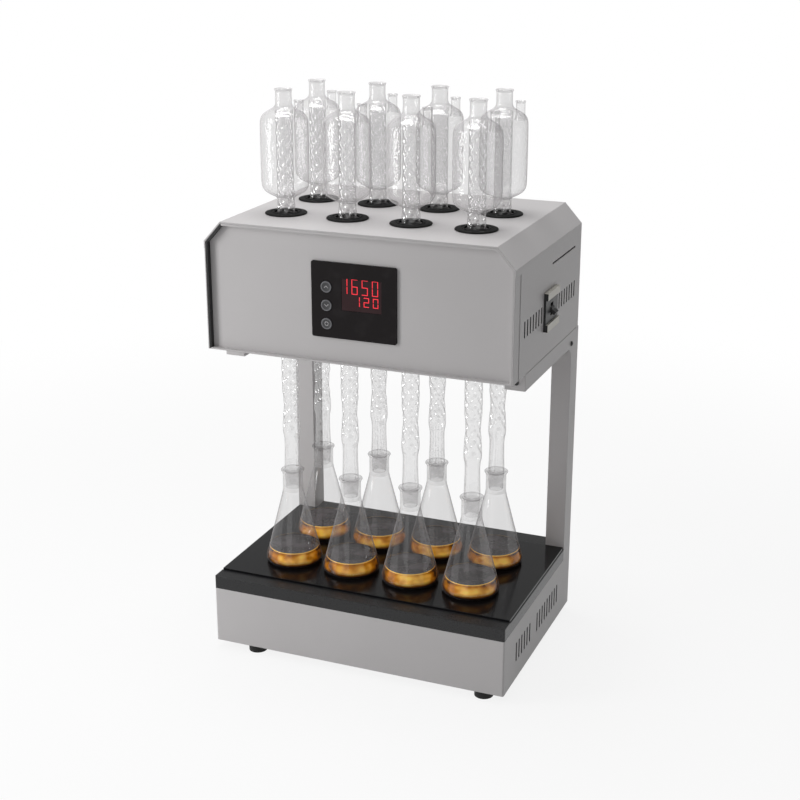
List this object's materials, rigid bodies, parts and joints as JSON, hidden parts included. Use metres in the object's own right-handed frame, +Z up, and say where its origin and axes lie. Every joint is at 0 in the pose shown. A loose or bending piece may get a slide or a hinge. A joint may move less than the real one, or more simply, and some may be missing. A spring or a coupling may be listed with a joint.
{
  "type": "block digester",
  "caption": "Bench digester: a steel base with a black glass-ceramic heating plate, conical flasks with reflux condensers that rise through a chamfered head on two rear uprights.",
  "frame": {"origin": "on the floor, under the middle of the part's outline", "axes": "+X to the right seen from the front, +Y to the back, +Z up"},
  "size_m": [0.4588, 0.331, 0.816],
  "materials": {
    "grey_paint": "fine textured light grey powder coat",
    "black_enamel": "black enamel, satin",
    "black_ceramic": "polished black glass-ceramic",
    "bare_steel": "bare sheet steel",
    "fibre_board": "ceramic fibre board, matt",
    "white_ceramic": "glazed ceramic",
    "heat_sink": "finned aluminium",
    "black_plastic": "matt black plastic",
    "black_rubber": "matt black rubber",
    "collar_rubber": "black rubber, satin",
    "bezel_plastic": "dark panel foil, satin",
    "smoked_window": "smoked window, glossy",
    "display_module": "red seven-segment digits",
    "circuit_board": "green laminate",
    "cream_plastic": "cream moulding",
    "button_plastic": "dark grey moulding",
    "flask_glass": "clear borosilicate glass",
    "condenser_glass": "clear borosilicate glass",
    "amber_liquid": "clear amber liquid"
  },
  "bodies": {
    "chassis": {"base_shell": "grey_paint", "bottom_plate": "grey_paint", "plate_frame": "black_enamel", "ceramic_plate": "black_ceramic", "heater_tray": "bare_steel", "insulation_board": "fibre_board", "heater_elements": "white_ceramic", "temperature_probe": "bare_steel", "power_relay": "heat_sink", "terminal_block": "black_plastic", "cable_gland": "black_plastic", "rubber_feet": "black_rubber", "left_upright": "grey_paint", "right_upright": "grey_paint", "head_cover": "grey_paint", "front_liner": "black_enamel", "front_panel": "grey_paint", "head_floor": "grey_paint", "rear_panel": "grey_paint", "top_collars": "collar_rubber", "fan_frames": "black_plastic", "control_bezel": "bezel_plastic", "display_window": "smoked_window", "led_display": "display_module", "control_board": "circuit_board", "breaker_body": "cream_plastic", "breaker_bracket": "bare_steel"},
    "flask_1_body": {"flask_1": "flask_glass", "sample_1": "amber_liquid"},
    "condenser_1_body": {"condenser_1": "condenser_glass"},
    "flask_2_body": {"flask_2": "flask_glass", "sample_2": "amber_liquid"},
    "condenser_2_body": {"condenser_2": "condenser_glass"},
    "flask_3_body": {"flask_3": "flask_glass", "sample_3": "amber_liquid"},
    "condenser_3_body": {"condenser_3": "condenser_glass"},
    "flask_4_body": {"flask_4": "flask_glass", "sample_4": "amber_liquid"},
    "condenser_4_body": {"condenser_4": "condenser_glass"},
    "flask_5_body": {"flask_5": "flask_glass", "sample_5": "amber_liquid"},
    "condenser_5_body": {"condenser_5": "condenser_glass"},
    "flask_6_body": {"flask_6": "flask_glass", "sample_6": "amber_liquid"},
    "condenser_6_body": {"condenser_6": "condenser_glass"},
    "flask_7_body": {"flask_7": "flask_glass", "sample_7": "amber_liquid"},
    "condenser_7_body": {"condenser_7": "condenser_glass"},
    "flask_8_body": {"flask_8": "flask_glass", "sample_8": "amber_liquid"},
    "condenser_8_body": {"condenser_8": "condenser_glass"},
    "toggle": {"breaker_toggle": "black_plastic"},
    "left_rotor": {"left_fan_rotor": "black_plastic"},
    "right_rotor": {"right_fan_rotor": "black_plastic"},
    "key_1": {"button_1": "button_plastic"},
    "key_2": {"button_2": "button_plastic"},
    "key_3": {"button_3": "button_plastic"}
  },
  "joints": [
    {"name": "flask_1_lift", "type": "slide", "parent": "chassis", "child": "flask_1_body", "axis": [0, 0, 1], "range_m": [0, 0.15]},
    {"name": "condenser_1_lift", "type": "slide", "parent": "flask_1_body", "child": "condenser_1_body", "axis": [0, 0, 1], "range_m": [0, 0.42]},
    {"name": "flask_2_lift", "type": "slide", "parent": "chassis", "child": "flask_2_body", "axis": [0, 0, 1], "range_m": [0, 0.15]},
    {"name": "condenser_2_lift", "type": "slide", "parent": "flask_2_body", "child": "condenser_2_body", "axis": [0, 0, 1], "range_m": [0, 0.42]},
    {"name": "flask_3_lift", "type": "slide", "parent": "chassis", "child": "flask_3_body", "axis": [0, 0, 1], "range_m": [0, 0.15]},
    {"name": "condenser_3_lift", "type": "slide", "parent": "flask_3_body", "child": "condenser_3_body", "axis": [0, 0, 1], "range_m": [0, 0.42]},
    {"name": "flask_4_lift", "type": "slide", "parent": "chassis", "child": "flask_4_body", "axis": [0, 0, 1], "range_m": [0, 0.15]},
    {"name": "condenser_4_lift", "type": "slide", "parent": "flask_4_body", "child": "condenser_4_body", "axis": [0, 0, 1], "range_m": [0, 0.42]},
    {"name": "flask_5_lift", "type": "slide", "parent": "chassis", "child": "flask_5_body", "axis": [0, 0, 1], "range_m": [0, 0.15]},
    {"name": "condenser_5_lift", "type": "slide", "parent": "flask_5_body", "child": "condenser_5_body", "axis": [0, 0, 1], "range_m": [0, 0.42]},
    {"name": "flask_6_lift", "type": "slide", "parent": "chassis", "child": "flask_6_body", "axis": [0, 0, 1], "range_m": [0, 0.15]},
    {"name": "condenser_6_lift", "type": "slide", "parent": "flask_6_body", "child": "condenser_6_body", "axis": [0, 0, 1], "range_m": [0, 0.42]},
    {"name": "flask_7_lift", "type": "slide", "parent": "chassis", "child": "flask_7_body", "axis": [0, 0, 1], "range_m": [0, 0.15]},
    {"name": "condenser_7_lift", "type": "slide", "parent": "flask_7_body", "child": "condenser_7_body", "axis": [0, 0, 1], "range_m": [0, 0.42]},
    {"name": "flask_8_lift", "type": "slide", "parent": "chassis", "child": "flask_8_body", "axis": [0, 0, 1], "range_m": [0, 0.15]},
    {"name": "condenser_8_lift", "type": "slide", "parent": "flask_8_body", "child": "condenser_8_body", "axis": [0, 0, 1], "range_m": [0, 0.42]},
    {"name": "breaker_switch", "type": "hinge", "parent": "chassis", "child": "toggle", "pos_m": [0.21974, 0.0005, 0.528], "axis": [0, -1, 0], "range_deg": [0, 60]},
    {"name": "left_fan_spin", "type": "hinge", "parent": "chassis", "child": "left_rotor", "pos_m": [-0.11536, 0.1372, 0.549], "axis": [0, 1, 0], "continuous": true},
    {"name": "right_fan_spin", "type": "hinge", "parent": "chassis", "child": "right_rotor", "pos_m": [0.10464, 0.1372, 0.549], "axis": [0, 1, 0], "continuous": true},
    {"name": "key_1_press", "type": "slide", "parent": "chassis", "child": "key_1", "axis": [0, 1, 0], "range_m": [0, 0.0012], "stiffness_N_per_m": 600, "springref_m": -0.001},
    {"name": "key_2_press", "type": "slide", "parent": "chassis", "child": "key_2", "axis": [0, 1, 0], "range_m": [0, 0.0012], "stiffness_N_per_m": 600, "springref_m": -0.001},
    {"name": "key_3_press", "type": "slide", "parent": "chassis", "child": "key_3", "axis": [0, 1, 0], "range_m": [0, 0.0012], "stiffness_N_per_m": 600, "springref_m": -0.001}
  ]
}
